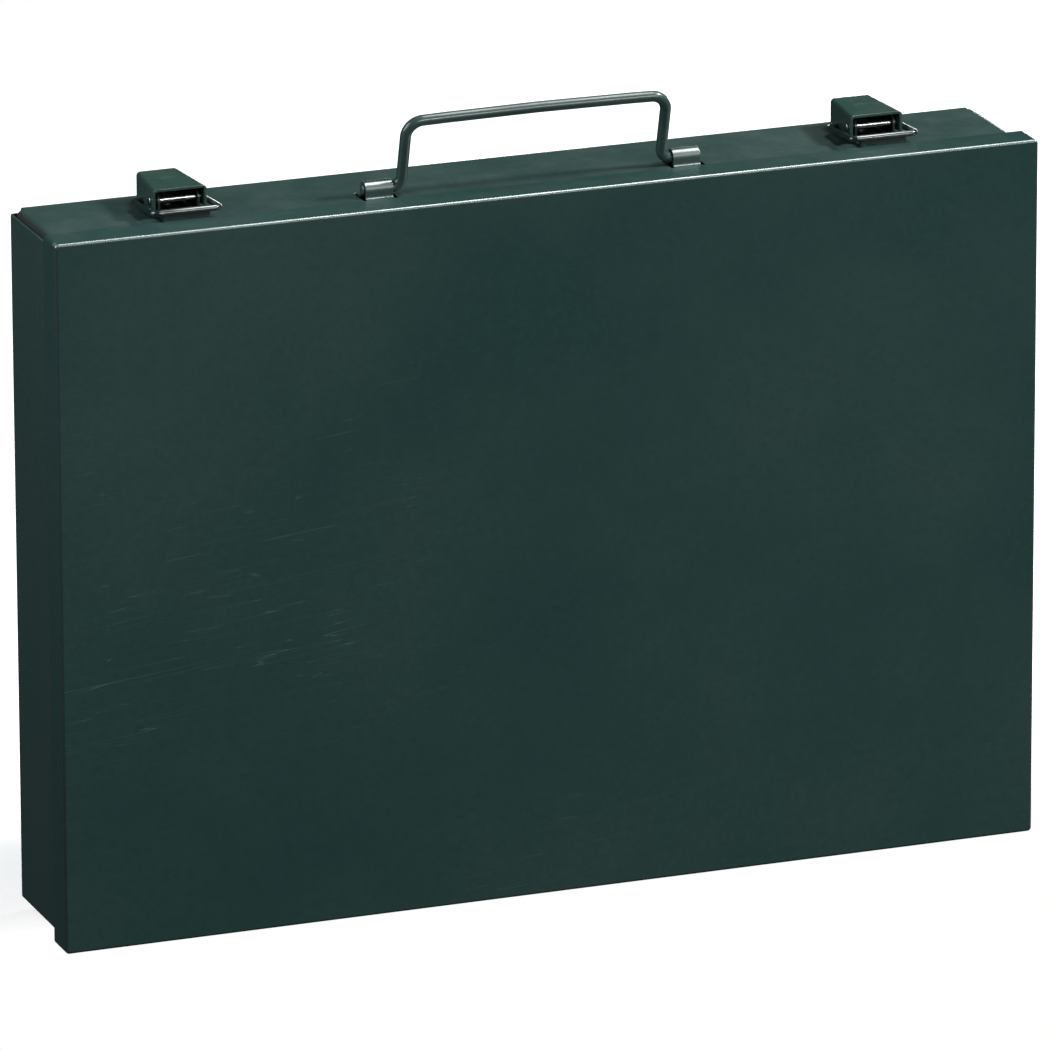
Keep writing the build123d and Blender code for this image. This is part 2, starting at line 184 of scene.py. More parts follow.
class LatchSize(bpy.types.PropertyGroup):
    """Sizes of the levers, the bails and the pins"""

    sheet: bpy.props.FloatProperty(
        name="Sheet", description="Thickness of the lever's sheet", default=0.9 * MM, unit="LENGTH"
    )
    front_width: bpy.props.FloatProperty(
        name="Front width", description="Lever's width at its open end", default=18.4 * MM,
        unit="LENGTH",
    )
    back_width: bpy.props.FloatProperty(
        name="Back width", description="Lever's width at its tip", default=14.0 * MM, unit="LENGTH"
    )
    fold: bpy.props.FloatProperty(
        name="Fold", description="Rounding of the lever's folds", default=1.3 * MM, unit="LENGTH"
    )
    tip: bpy.props.FloatProperty(
        name="Tip", description="How far the tip stays above the lowest edge", default=0.8 * MM,
        unit="LENGTH",
    )
    dimple: bpy.props.FloatProperty(
        name="Dimple", description="Depth of the pressed thumb mark", default=0.35 * MM, unit="LENGTH"
    )
    wire: bpy.props.FloatProperty(
        name="Bail wire", description="Radius of the bail's wire", default=1.0 * MM, unit="LENGTH"
    )
    bail_width: bpy.props.FloatProperty(
        name="Bail width", description="Over the bail's two arms", default=24.6 * MM, unit="LENGTH"
    )
    pin: bpy.props.FloatProperty(
        name="Pin radius", description="Radius of the pivot pin", default=1.1 * MM, unit="LENGTH"
    )


# Modelling helpers


def clear_selection():
    """Leave edit mode and select nothing"""
    if bpy.context.object and bpy.context.object.mode != "OBJECT":
        bpy.ops.object.mode_set(mode="OBJECT")
    bpy.ops.object.select_all(action="DESELECT")


def select_only(piece):
    clear_selection()
    piece.select_set(True)
    bpy.context.view_layer.objects.active = piece


def pick(kind, test):
    """In edit mode, select only the vertices, edges or faces whose middle and direction pass a test"""
    bpy.ops.mesh.select_mode(type=kind)
    bpy.ops.mesh.select_all(action="DESELECT")
    mesh = bmesh.from_edit_mesh(bpy.context.object.data)
    if kind == "VERT":
        chosen = [v for v in mesh.verts if test(v.co, v.normal)]
    elif kind == "EDGE":
        ends = ((e, *[v.co for v in e.verts]) for e in mesh.edges)
        chosen = [e for e, a, b in ends if test((a + b) / 2, (b - a).normalized())]
    else:
        chosen = [f for f in mesh.faces if test(f.calc_center_median(), f.normal)]
    if not chosen:
        raise ValueError("nothing of " + bpy.context.object.name + " passes the selection")
    for item in chosen:
        item.select_set(True)
    mesh.select_flush_mode()
    bmesh.update_edit_mesh(bpy.context.object.data)


def apply_modifier(piece, kind, **settings):
    """Add a modifier to the active object and apply it"""
    modifier = piece.modifiers.new(kind.title(), kind)
    for name, value in settings.items():
        setattr(modifier, name, value)
    bpy.ops.object.modifier_apply(modifier=modifier.name)


def finish_piece(piece, name, body, nodes, material, sheet=False):
    """Name a piece, put its place in its mesh, shade it, and let it ride and stand for its nodes"""
    select_only(piece)
    bpy.ops.object.transform_apply(location=True, rotation=True, scale=True)
    bpy.ops.object.shade_smooth_by_angle(angle=math.radians(35))
    if sheet:
        apply_modifier(piece, "WEIGHTED_NORMAL", weight=100, keep_sharp=True)
    piece.name = name
    piece.data.name = name
    piece.data.materials.clear()
    piece.data.materials.append(material)
    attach(piece, body)
    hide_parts(*nodes)
    clear_selection()


def give(node_name, material):
    """Give a node that keeps its frame shape its finish"""
    node = frame["nodes"][node_name]
    node.data.materials.clear()
    node.data.materials.append(material)


def ease_sheet(node_name, ease):
    """A node's own shape with whole faces in place of its triangles, and its sheet's edges eased"""
    node = frame["nodes"][node_name]
    piece = bpy.data.objects.new(node_name + "_eased", node.data.copy())
    bpy.context.scene.collection.objects.link(piece)
    select_only(piece)
    bpy.ops.object.mode_set(mode="EDIT")
    bpy.ops.mesh.select_all(action="SELECT")
    bpy.ops.mesh.remove_doubles(threshold=0.001 * MM)
    bpy.ops.mesh.select_all(action="SELECT")
    bpy.ops.mesh.dissolve_limited(angle_limit=math.radians(0.5))
    bpy.ops.object.mode_set(mode="OBJECT")
    apply_modifier(
        piece, "BEVEL", width=ease, segments=2, limit_method="ANGLE", angle_limit=math.radians(50)
    )
    return piece


def bend_wire(start, heading, radius, sides, moves, chamfer):
    """A round wire: its section is extruded along each run and spun round each bend.
    A move is ("run", length) or ("bend", radius to the wire's middle, angle, axis)."""
    clear_selection()
    place = Vector(start)
    heading = Vector(heading).normalized()
    narrow = (radius - chamfer) / radius
    degrees_per_step = 7.5
    bpy.ops.mesh.primitive_circle_add(
        vertices=sides,
        radius=radius * narrow,
        fill_type="NOTHING",
        location=place,
        rotation=heading.to_track_quat("Z", "Y").to_euler(),
    )
    bpy.ops.object.mode_set(mode="EDIT")
    bpy.ops.mesh.select_mode(type="EDGE")
    bpy.ops.mesh.select_all(action="SELECT")

    def run(length):
        nonlocal place
        bpy.ops.mesh.extrude_region_move(TRANSFORM_OT_translate={"value": heading * length})
        place = place + heading * length

    run(chamfer)
    bpy.ops.transform.resize(value=(1 / narrow,) * 3, center_override=place)
    for kind, *move in moves:
        if kind == "run":
            run(*move)
        else:
            bend, angle, axis = move
            centre = place + axis.cross(heading) * bend
            steps = max(2, round(math.degrees(angle) / degrees_per_step))
            # The spin tool counts its angle against the right-hand rule
            bpy.ops.mesh.spin(steps=steps, angle=-angle, center=centre, axis=axis)
            turn = Matrix.Rotation(angle, 3, axis)
            place = centre + turn @ (place - centre)
            heading = turn @ heading
    run(chamfer)
    bpy.ops.transform.resize(value=(narrow,) * 3, center_override=place)
    bpy.ops.mesh.select_all(action="SELECT")
    bpy.ops.mesh.remove_doubles(threshold=0.005 * MM)
    bpy.ops.mesh.select_all(action="SELECT")
    bpy.ops.mesh.fill_holes(sides=0)
    bpy.ops.mesh.select_all(action="SELECT")
    bpy.ops.mesh.normals_make_consistent(inside=False)
    bpy.ops.object.mode_set(mode="OBJECT")
    return bpy.context.object


# Shader helpers and the effects that the finishes are made of


def feed(tree, value, socket):
    """Link another node's output to a socket, or set the socket's own value"""
    if isinstance(value, bpy.types.NodeSocket):
        tree.links.new(value, socket)
    else:
        socket.default_value = value


def add_node(tree, kind, values=None, **settings):
    """A node with its settings and input values; a value may be another node's output"""
    node = tree.nodes.new(kind)
    for name, value in settings.items():
        setattr(node, name, value)
    for name, value in (values or {}).items():
        feed(tree, value, node.inputs[name])
    return node


def object_place(tree):
    """The output with a point's place in its own object"""
    return add_node(tree, "ShaderNodeTexCoord").outputs["Object"]


def split(tree, vector):
    """The outputs with a vector's three parts"""
    return add_node(tree, "ShaderNodeSeparateXYZ", {"Vector": vector}).outputs


def noise(tree, place, scale, detail=3.0, roughness=0.5):
    """The output of a noise of so many grains to the metre"""
    values = {"Vector": place, "Scale": scale, "Detail": detail, "Roughness": roughness}
    return add_node(tree, "ShaderNodeTexNoise", values).outputs["Fac"]


def span(tree, value, low, high, to_low=0.0, to_high=1.0):
    """The output of a clamped map of low..high to another range"""
    values = {"Value": value, "From Min": low, "From Max": high, "To Min": to_low, "To Max": to_high}
    return add_node(tree, "ShaderNodeMapRange", values).outputs["Result"]


def calculate(tree, operation, *values):
    """The output of one sum on one or two values"""
    node = add_node(tree, "ShaderNodeMath", operation=operation)
    for value, socket in zip(values, node.inputs):
        feed(tree, value, socket)
    return node.outputs[0]


def multiply(tree, first, *others):
    """The output of a product of two or more values"""
    for other in others:
        first = calculate(tree, "MULTIPLY", first, other)
    return first


def calculate_vector(tree, operation, *values):
    """The outputs of one sum on two vectors"""
    node = add_node(tree, "ShaderNodeVectorMath", operation=operation)
    for value, socket in zip(values, node.inputs):
        feed(tree, value, socket)
    return node.outputs


def mix_colour(tree, factor, first, second):
    """The output of a mix of two colours"""
    node = add_node(tree, "ShaderNodeMix", data_type="RGBA")
    for name, value in (("Factor_Float", factor), ("A_Color", first), ("B_Color", second)):
        feed(tree, value, next(s for s in node.inputs if s.identifier == name))
    return next(s for s in node.outputs if s.identifier == "Result_Color")


def start_group(name, inputs, outputs):
    """An empty shader group with named sockets"""
    group = bpy.data.node_groups.new(name, "ShaderNodeTree")
    for label, kind, value in inputs:
        socket = group.interface.new_socket(label, in_out="INPUT", socket_type="NodeSocket" + kind)
        socket.default_value = value
    for label, kind in outputs:
        group.interface.new_socket(label, in_out="OUTPUT", socket_type="NodeSocket" + kind)
    given = group.nodes.new("NodeGroupInput").outputs
    results = group.nodes.new("NodeGroupOutput").inputs
    return group, given, results


def place_group(tree, name, values):
    """A shader group put into a material, and its outputs"""
    node = add_node(tree, "ShaderNodeGroup", node_tree=bpy.data.node_groups[name])
    for label, value in values.items():
        node.inputs[label].default_value = value
    return node.outputs


def make_paint_clouds():
    """Broad patches and a fine mottle in a coat of enamel"""
    group, given, results = start_group(
        "paint_clouds",
        (
            ("Colour", "Color", (0.02, 0.05, 0.05, 1)),
            ("Patch Colour", "Color", (0.03, 0.05, 0.05, 1)),
            ("Patch Scale", "Float", 14.0),
            ("Mottle", "Float", 0.12),
        ),
        (("Colour", "Color"), ("Patches", "Float")),
    )
    place = object_place(group)
    patches = span(group, noise(group, place, given["Patch Scale"], 4.0, 0.6), 0.36, 0.66)
    toned = mix_colour(group, patches, given["Colour"], given["Patch Colour"])
    grain = span(group, noise(group, place, 420.0, 3.0, 0.65), 0.25, 0.75, -1.0, 1.0)
    value = calculate(group, "ADD", multiply(group, grain, given["Mottle"]), 1.0)
    mottled = add_node(group, "ShaderNodeHueSaturation", {"Value": value, "Color": toned})
    group.links.new(mottled.outputs["Color"], results["Colour"])
    group.links.new(patches, results["Patches"])


def make_edge_rub():
    """Where folds and sheet edges are rubbed, broken up by a noise"""
    group, given, results = start_group(
        "edge_rub",
        (("Radius", "Float", 0.2 * MM), ("Breaks", "Float", 160.0), ("Amount", "Float", 0.5)),
        (("Mask", "Float"),),
    )
    rounded = add_node(group, "ShaderNodeBevel", {"Radius": given["Radius"]}, samples=6)
    own = add_node(group, "ShaderNodeNewGeometry")
    normals = rounded.outputs["Normal"], own.outputs["Normal"]
    likeness = calculate_vector(group, "DOT_PRODUCT", *normals)["Value"]
    edge = span(group, likeness, 0.995, 0.86)
    breaks = span(group, noise(group, object_place(group), given["Breaks"], 5.0, 0.7), 0.46, 0.62)
    group.links.new(multiply(group, edge, breaks, given["Amount"]), results["Mask"])


def make_fold_burnish_and_highlight():
    """Where a sheet's outside folds that look up are burnished, partly as a painted highlight, and where
    its upright folds take painted shade; folds are found by a normal that is square to no axis
    """
    group, given, results = start_group(
        "fold_burnish_and_highlight",
        (
            ("Amount", "Float", 0.5),
            ("Breaks", "Float", 45.0),
            ("Depth Limit", "Float", 1.0),
            ("Half Width", "Float", 1.0),
        ),
        (("Mask", "Float"), ("Upright Shade", "Float")),
    )
    coordinates = add_node(group, "ShaderNodeTexCoord").outputs
    facing = split(group, coordinates["Normal"])
    along = [calculate(group, "ABSOLUTE", part) for part in facing]
    squareness = calculate(group, "MAXIMUM", calculate(group, "MAXIMUM", along[0], along[1]), along[2])
    fold = span(group, squareness, 0.97, 0.86)
    # Painted shade: this output darkens folds whose normals lie level
    group.links.new(multiply(group, fold, span(group, along[2], 0.3, 0.1)), results["Upright Shade"])
    upward = span(group, facing["Z"], 0.15, 0.5)
    cloud = noise(group, coordinates["Object"], given["Breaks"], 4.0, 0.6)
    breaks = span(group, cloud, 0.30, 0.60, 0.70, 1.0)
    place = split(group, coordinates["Object"])
    shallow = calculate(group, "LESS_THAN", place["Y"], given["Depth Limit"])
    sideways = calculate(group, "ABSOLUTE", place["X"])
    central = calculate(group, "LESS_THAN", sideways, given["Half Width"])
    # Painted highlight in part: the burnish is kept to folds that look up, in front of the depth limit
    # and within the half width
    mask = multiply(group, fold, upward, breaks, shallow, central, given["Amount"])
    group.links.new(mask, results["Mask"])


def make_hair_scratches():
    """Fine scratches that run roughly along the width, in scattered patches"""
    group, given, results = start_group(
        "hair_scratches",
        (("Turn", "Float", 0.1), ("Fineness", "Float", 420.0), ("Amount", "Float", 0.5)),
        (("Mask", "Float"),),
    )
    stretch = (0.022, 1.0, 1.0)
    scuff = (-110.0 * MM, -25.0 * MM, 55.0 * MM)
    scuff_core, scuff_reach = 50.0 * MM, 160.0 * MM
    place = object_place(group)
    turned = add_node(
        group, "ShaderNodeVectorRotate", {"Vector": place, "Angle": given["Turn"]}, rotation_type="Y_AXIS"
    )
    stretched = calculate_vector(group, "MULTIPLY", turned.outputs["Vector"], stretch)["Vector"]
    field = noise(group, stretched, given["Fineness"], 1.0, 0.5)
    away = calculate(group, "ABSOLUTE", calculate(group, "SUBTRACT", field, 0.5))
    line = span(group, away, 0.006, 0.0)
    away_from_scuff = calculate_vector(group, "DISTANCE", place, scuff)["Value"]
    scuffed = span(group, away_from_scuff, scuff_reach, scuff_core, 0.12, 1.0)
    patches = span(group, noise(group, place, 11.0, 2.0), 0.42, 0.60)
    mask = multiply(group, line, multiply(group, patches, scuffed), given["Amount"])
    group.links.new(mask, results["Mask"])


def make_spray_grain():
    """Height of the slight orange peel of sprayed enamel over rolled sheet"""
    group, given, results = start_group(
        "spray_grain", (("Peel", "Float", 420.0), ("Wave", "Float", 26.0)), (("Height", "Float"),)
    )
    place = object_place(group)
    peel = multiply(group, noise(group, place, given["Peel"], 2.0), 0.07)
    wave = noise(group, place, given["Wave"], 1.0)
    group.links.new(calculate(group, "ADD", peel, wave), results["Height"])


def make_dust():
    """A thin film of dust on faces that look up in the rest pose"""
    group, given, results = start_group(
        "dust_film", (("Amount", "Float", 0.3), ("Scale", "Float", 60.0)), (("Mask", "Float"),)
    )
    coordinates = add_node(group, "ShaderNodeTexCoord").outputs
    upward = span(group, split(group, coordinates["Normal"])["Z"], 0.5, 1.0)
    cloud = span(group, noise(group, coordinates["Object"], given["Scale"], 5.0, 0.65), 0.40, 0.75)
    group.links.new(multiply(group, upward, cloud, given["Amount"]), results["Mask"])


def new_material(name):
    """A material with its tree and its shader"""
    material = bpy.data.materials.new(name)
    material.use_nodes = True
    tree = material.node_tree
    return material, tree, tree.nodes["Principled BSDF"]


def raise_surface(tree, shader, height, distance, edge):
    """Feed a height to the shader's normal, over edges that look eased by so much"""
    eased = add_node(tree, "ShaderNodeBevel", {"Radius": edge}, samples=6)
    values = {"Height": height, "Strength": 1.0, "Distance": distance, "Normal": eased.outputs[0]}
    bump = add_node(tree, "ShaderNodeBump", values)
    tree.links.new(bump.outputs["Normal"], shader.inputs["Normal"])


def seam_shade_and_specks(tree):
    """Painted shade in the seams at both ends of the body's upper wall, and the dark specks on it"""
    seam_start, seam_full, seam_end = 165.7 * MM, 166.5 * MM, 167.7 * MM
    seam_foot = WALL_TOP - 3.0 * MM
    place = object_place(tree)
    parts = split(tree, place)
    sideways = calculate(tree, "ABSOLUTE", parts["X"])
    outer = span(tree, sideways, seam_start, seam_full)
    inner = calculate(tree, "LESS_THAN", sideways, seam_end)
    high = calculate(tree, "GREATER_THAN", parts["Z"], seam_foot)
    # Painted shade: a dark band where the upper wall's end folds down beside the side wall
    seam_shade_with_specks = multiply(tree, outer, inner, high)
    for x, y, radius, depth in SPECKS:
        away = calculate_vector(tree, "DISTANCE", place, (x * MM, y * MM, WALL_TOP))["Value"]
        spot = span(tree, away, radius * MM, 0.3 * radius * MM, 0.0, depth)
        seam_shade_with_specks = calculate(tree, "MAXIMUM", seam_shade_with_specks, spot)
    return seam_shade_with_specks


def lip_shade(tree):
    """Painted shade on the keeper lips, which stand above the lid's upper flange"""
    height = split(tree, object_place(tree))["Z"]
    return span(tree, height, FLANGE_TOP + 0.02 * MM, FLANGE_TOP + 0.3 * MM, 0.0, 0.92)


def enamel(
    name,
    colour,
    patch,
    roughness,
    patch_scale,
    rub,
    wave=0.012,
    fold=0.0,
    fold_depth=1.0,
    fold_width=1.0,
    scratch=0.0,
    shade_and_specks=None,
):
    """Sprayed enamel: clouded colour, rubbed edges, dust and an orange peel, wave millimetres deep.
    Where it has burnished folds, partly standing for a painted highlight, the function passed in gives
    the mask of its painted shade (in the body's seams, on the lid's keeper lips) and of the body's dark
    specks, and its upright folds take painted shade too."""
    material, tree, shader = new_material(name)
    bare = (*bpy.context.scene.box_finish.bare, 1)
    clouds = place_group(
        tree,
        "paint_clouds",
        {"Colour": (*colour, 1), "Patch Colour": (*patch, 1), "Patch Scale": patch_scale, "Mottle": 0.10},
    )
    rubbed = place_group(tree, "edge_rub", {"Amount": rub})["Mask"]
    # The burnished folds add bare steel that stands partly for a painted highlight
    if fold:
        limits = {"Amount": fold, "Depth Limit": fold_depth, "Half Width": fold_width}
        folds = place_group(tree, "fold_burnish_and_highlight", limits)
        rubbed = calculate(tree, "MAXIMUM", rubbed, folds["Mask"])
    dust = place_group(tree, "dust_film", {"Amount": 0.05})["Mask"]
    coat = mix_colour(tree, dust, clouds["Colour"], DUST)
    rough = span(tree, clouds["Patches"], 0.0, 1.0, roughness - 0.04, roughness + 0.05)
    rough = calculate(tree, "ADD", rough, multiply(tree, dust, 1.5))
    if scratch:
        lines = place_group(tree, "hair_scratches", {"Amount": scratch})["Mask"]
        paler = tuple(min(1.0, 2.4 * part) for part in patch)
        coat = mix_colour(tree, lines, coat, (*paler, 1))
        rough = calculate(tree, "ADD", rough, multiply(tree, lines, 0.2))
    coat = mix_colour(tree, rubbed, coat, bare)
    rough = calculate(tree, "SUBTRACT", rough, multiply(tree, rubbed, 0.20))
    if fold:
        # Painted shade: near-black mixed in along the seams, on the keeper lips and on upright folds,
        # together with the body's dark specks
        dull = calculate(tree, "MAXIMUM", shade_and_specks(tree), multiply(tree, folds["Upright Shade"], 0.6))
        coat = mix_colour(tree, dull, coat, SHADE_AND_SPECK_COLOUR)
        rough = calculate(tree, "ADD", rough, multiply(tree, dull, 0.5))
        rubbed = multiply(tree, rubbed, calculate(tree, "SUBTRACT", 1.0, dull))
    tree.links.new(coat, shader.inputs["Base Color"])
    tree.links.new(rough, shader.inputs["Roughness"])
    tree.links.new(rubbed, shader.inputs["Metallic"])
    height = place_group(tree, "spray_grain", {"Wave": 26.0})["Height"]
    raise_surface(tree, shader, height, wave * MM, 0.25 * MM)
    return material


def body_enamel():
    finish = bpy.context.scene.box_finish
    return enamel(
        "body_enamel",
        finish.body,
        finish.body_patch,
        0.36,
        patch_scale=11.0,
        rub=0.30,
        fold=0.55,
        fold_width=0.08,
        shade_and_specks=seam_shade_and_specks,
    )


def lid_enamel():
    finish = bpy.context.scene.box_finish
    return enamel(
        "lid_enamel",
        finish.lid,
        finish.lid_patch,
        0.32,
        patch_scale=7.0,
        rub=0.15,
        fold=0.52,
        fold_depth=-0.022,
        scratch=0.60,
        shade_and_specks=lip_shade,
    )


def handle_enamel():
    finish = bpy.context.scene.box_finish
    return enamel(
        "handle_enamel", finish.handle, finish.body, 0.29, patch_scale=60.0, rub=0.0, wave=0.003
    )


def bail_enamel():
    finish = bpy.context.scene.box_finish
    dark = tuple(0.4 * part for part in finish.body)
    material = enamel("bail_enamel", finish.wire, dark, 0.16, patch_scale=60.0, rub=0.12, wave=0.003)
    material.node_tree.nodes["Principled BSDF"].inputs["Specular IOR Level"].default_value = 0.9
    return material


def latch_enamel():
    finish = bpy.context.scene.box_finish
    return enamel(
        "latch_enamel", finish.latch, finish.body_patch, 0.26, patch_scale=90.0, rub=0.50, wave=0.006
    )


def shaded_plate_enamel():
    finish = bpy.context.scene.box_finish
    # Painted shade: the plates' enamel is darkened far below the latches' to the shade inside the levers
    dark = tuple(0.12 * part for part in finish.latch)
    return enamel("shaded_plate_enamel", dark, finish.wire, 0.34, patch_scale=90.0, rub=0.08)


def hinge_enamel():
    finish = bpy.context.scene.box_finish
    return enamel(
        "hinge_enamel", finish.latch, finish.body_patch, 0.38, patch_scale=40.0, rub=0.75, wave=0.01
    )


def divider_enamel():
    finish = bpy.context.scene.box_finish
    return enamel(
        "divider_enamel", finish.inside, finish.body_patch, 0.45, patch_scale=18.0, rub=0.55
    )


def turned_steel(name, steel, polish):
    """Turned steel, a little dulled"""
    material, tree, shader = new_material(name)
    shader.inputs["Metallic"].default_value = 1.0
    place = object_place(tree)
    tarnish = span(tree, noise(tree, place, 900.0, 4.0, 0.6), 0.35, 0.70)
    dull = tuple(0.75 * part for part in steel)
    colour = mix_colour(tree, tarnish, (*steel, 1), (*dull, 1))
    tree.links.new(colour, shader.inputs["Base Color"])
    tree.links.new(span(tree, tarnish, 0.0, 1.0, polish, polish + 0.08), shader.inputs["Roughness"])
    raise_surface(tree, shader, noise(tree, place, 2600.0, 2.0), 0.002 * MM, 0.12 * MM)
    return material


def pin_steel(name):
    return turned_steel(name, bpy.context.scene.box_finish.pin, 0.22)


def shaded_rivet_steel():
    # Painted shade: dark steel for the rivets inside the levers
    return turned_steel("shaded_rivet_steel", bpy.context.scene.box_finish.rivet, 0.42)


# Stage


def look_matrix(place, target, roll=0.0):
    """A matrix that stands at place and looks down its own -Z at target"""
    turn = (target - place).to_track_quat("-Z", "Y").to_matrix()
    turn = turn @ Matrix.Rotation(math.radians(roll), 3, "Z")
    return Matrix.Translation(place) @ turn.to_4x4()


class BOX_OT_stage(bpy.types.Operator):
    """Floor, studio lights, backdrop and the camera"""

    bl_idname = "box.stage"
    bl_label = "Stage"

    WHITE = (1.0, 1.0, 1.0)
    COOL = (0.88, 0.95, 1.0)
    # Name, direction from the box, distance, width and height in metres, watts, colour
    LAMPS = (
        ("key_right", (0.70, -0.22, 0.68), 2.2, 0.28, 0.28, 66, WHITE),
        ("softbox", (0.335, 0.0, 0.94), 2.3, 1.30, 0.45, 35, WHITE),
        ("front_strip", (0.335, -0.86, 0.38), 2.2, 1.60, 0.16, 29, WHITE),
        ("left_fill", (-0.84, 0.0, 0.54), 0.7, 0.40, 0.40, 3.2, COOL),
        ("back_fill", (0.60, 0.80, 0.0), 1.6, 1.20, 0.20, 9, WHITE),
    )

    def execute(self, context):
        self.lay_floor(context.scene.box_stage)
        self.set_camera(context)
        self.light_studio(context)
        self.fill_world(context)
        context.scene.view_settings.view_transform = "Standard"
        return {"FINISHED"}

    def lay_floor(self, look):
        """The floor fades out under the hinge, so that the open lid can hang over its edge"""
        clear_selection()
        edge, fade, depth, width = 4.0 * MM, 70.0 * MM, 1.1, 2.2
        bpy.ops.mesh.primitive_plane_add(size=1.0, location=(0, edge + depth / 2, 0))
        floor = bpy.context.object
        floor.scale = (width, depth, 1)
        bpy.ops.object.transform_apply(location=True, rotation=True, scale=True)
        floor.name = "floor"
        material, tree, shader = new_material("floor_paper")
        shader.inputs["Roughness"].default_value = 0.9
        shader.inputs["Specular IOR Level"].default_value = 0.2
        place = object_place(tree)
        pale = (*look.floor, 1)
        shade = (*(0.985 * part for part in look.floor), 1)
        paper = mix_colour(tree, noise(tree, place, 3.0), pale, shade)
        tree.links.new(paper, shader.inputs["Base Color"])
        tree.links.new(span(tree, split(tree, place)["Y"], edge, edge + fade), shader.inputs["Alpha"])
        floor.data.materials.append(material)
        floor.visible_glossy = False
        floor.visible_diffuse = False

    def set_camera(self, context):
        look = context.scene.box_stage
        azimuth, elevation = math.radians(look.azimuth), math.radians(look.elevation)
        flat = math.cos(elevation)
        back = Vector((math.sin(azimuth) * flat, -math.cos(azimuth) * flat, math.sin(elevation)))
        target = Vector((-0.85, 0, 120.94)) * MM
        data = bpy.data.cameras.new("photo_camera")
        data.lens = look.lens
        data.sensor_width = 36
        data.clip_end = 50
        camera = bpy.data.objects.new("photo_camera", data)
        context.scene.collection.objects.link(camera)
        camera.matrix_world = look_matrix(target + back * look.distance, target, look.roll)
        context.scene.camera = camera

    def light_studio(self, context):
        middle = Vector((0, 0, 0.12))
        for name, direction, distance, width, height, power, colour in self.LAMPS:
            light = bpy.data.lights.new(name, "AREA")
            light.shape = "RECTANGLE"
            light.size = width
            light.size_y = height
            light.energy = power
            light.color = colour
            lamp = bpy.data.objects.new(name, light)
            lamp.visible_camera = False
            context.scene.collection.objects.link(lamp)
            place = middle + Vector(direction).normalized() * distance
            lamp.matrix_world = look_matrix(place, middle)

    def fill_world(self, context):
        """White behind the box, an even soft light on it, and a dim room in its gloss"""
        look = context.scene.box_stage
        world = bpy.data.worlds.new("studio")
        context.scene.world = world
        world.use_nodes = True
        tree = world.node_tree
        background = tree.nodes["Background"]
        path = add_node(tree, "ShaderNodeLightPath").outputs
        gloss = span(tree, path["Is Glossy Ray"], 0.0, 1.0, look.ambient, look.sheen)
        strength = span(tree, path["Is Camera Ray"], 0.0, 1.0, gloss, 1.0)
        tree.links.new(strength, background.inputs["Strength"])
        background.inputs["Color"].default_value = (1, 1, 1, 1)


# Pieces


class BOX_OT_effects(bpy.types.Operator):
    """Shader groups that the finishes share"""

    bl_idname = "box.effects"
    bl_label = "Shared effects"

    def execute(self, context):
        make_paint_clouds()
        make_edge_rub()
        make_fold_burnish_and_highlight()
        make_hair_scratches()
        make_spray_grain()
        make_dust()
        return {"FINISHED"}


class BOX_OT_pans(bpy.types.Operator):
    """The body and the lid, both folded from sheet"""

    bl_idname = "box.pans"
    bl_label = "Body and lid"

    def execute(self, context):
        ease = 0.12 * MM
        for node, name, body, slot, material in (
            ("body_pan", "body_shell", "box", "body_paint", body_enamel()),
            ("lid_pan", "lid_shell", "lid", "lid_paint", lid_enamel()),
        ):
            piece = ease_sheet(node, ease)
            finish_piece(piece, name, body, [node], material, sheet=True)
        return {"FINISHED"}


class BOX_OT_hinge(bpy.types.Operator):
    """The piano hinge's two leaves and its pin"""

    bl_idname = "box.hinge"
    bl_label = "Hinge"

    def execute(self, context):
        material = hinge_enamel()
        ease = 0.08 * MM
        for node, name, body in (
            ("body_hinge_leaf", "body_leaf", "box"),
            ("lid_hinge_leaf", "lid_leaf", "lid"),
        ):
            piece = ease_sheet(node, ease)
            finish_piece(piece, name, body, [node], material, sheet=True)
        give("hinge_pin", pin_steel("hinge_pin_steel"))
        return {"FINISHED"}


class BOX_OT_dividers(bpy.types.Operator):
    """The half-lapped dividers keep their frame shape"""

    bl_idname = "box.dividers"
    bl_label = "Dividers"

    def execute(self, context):
        material = divider_enamel()
        for name in frame["nodes"]:
            if "divider" in name:
                give(name, material)
        return {"FINISHED"}


class BOX_OT_handle(bpy.types.Operator):
    """The carrying handle, one wire with its feet turned outwards"""

    bl_idname = "box.handle"
    bl_label = "Carrying handle"

    def execute(self, context):
        size = context.scene.box_handle
        low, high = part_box("carry_handle")
        axis = joint_place("handle_swing")
        up = Vector((0, -math.sin(size.lean), math.cos(size.lean)))
        inward = X_AXIS.cross(up)
        half = size.width / 2
        chamfer = 0.3 * MM
        foot = high.x - half - size.foot_bend - chamfer
        rise = math.atan2(size.crown, half)
        corner_cut = size.corner_bend * math.tan((QUARTER - rise) / 2)
        leg = size.reach - size.foot_bend - corner_cut
        slope = half / math.cos(rise) - corner_cut
        # The crown's bend takes four fifths of each half of the bar
        crown_cut = 0.8 * slope
        crown_bend = crown_cut / math.tan(rise)
        out = (("run", foot), ("bend", size.foot_bend, QUARTER, inward), ("run", leg))
        corner = ("bend", size.corner_bend, QUARTER - rise, -inward)
        straight = ("run", slope - crown_cut)
        bar = (straight, ("bend", crown_bend, 2 * rise, -inward), straight)
        back = (("run", leg), ("bend", size.foot_bend, QUARTER, inward), ("run", foot))
        wire = bend_wire(
            (low.x, axis.y, axis.z),
            X_AXIS,
            size.wire,
            sides=32,
            moves=(*out, corner, *bar, corner, *back),
            chamfer=chamfer,
        )
        finish_piece(wire, "handle_wire", "handle", ["carry_handle"], handle_enamel())
        return {"FINISHED"}


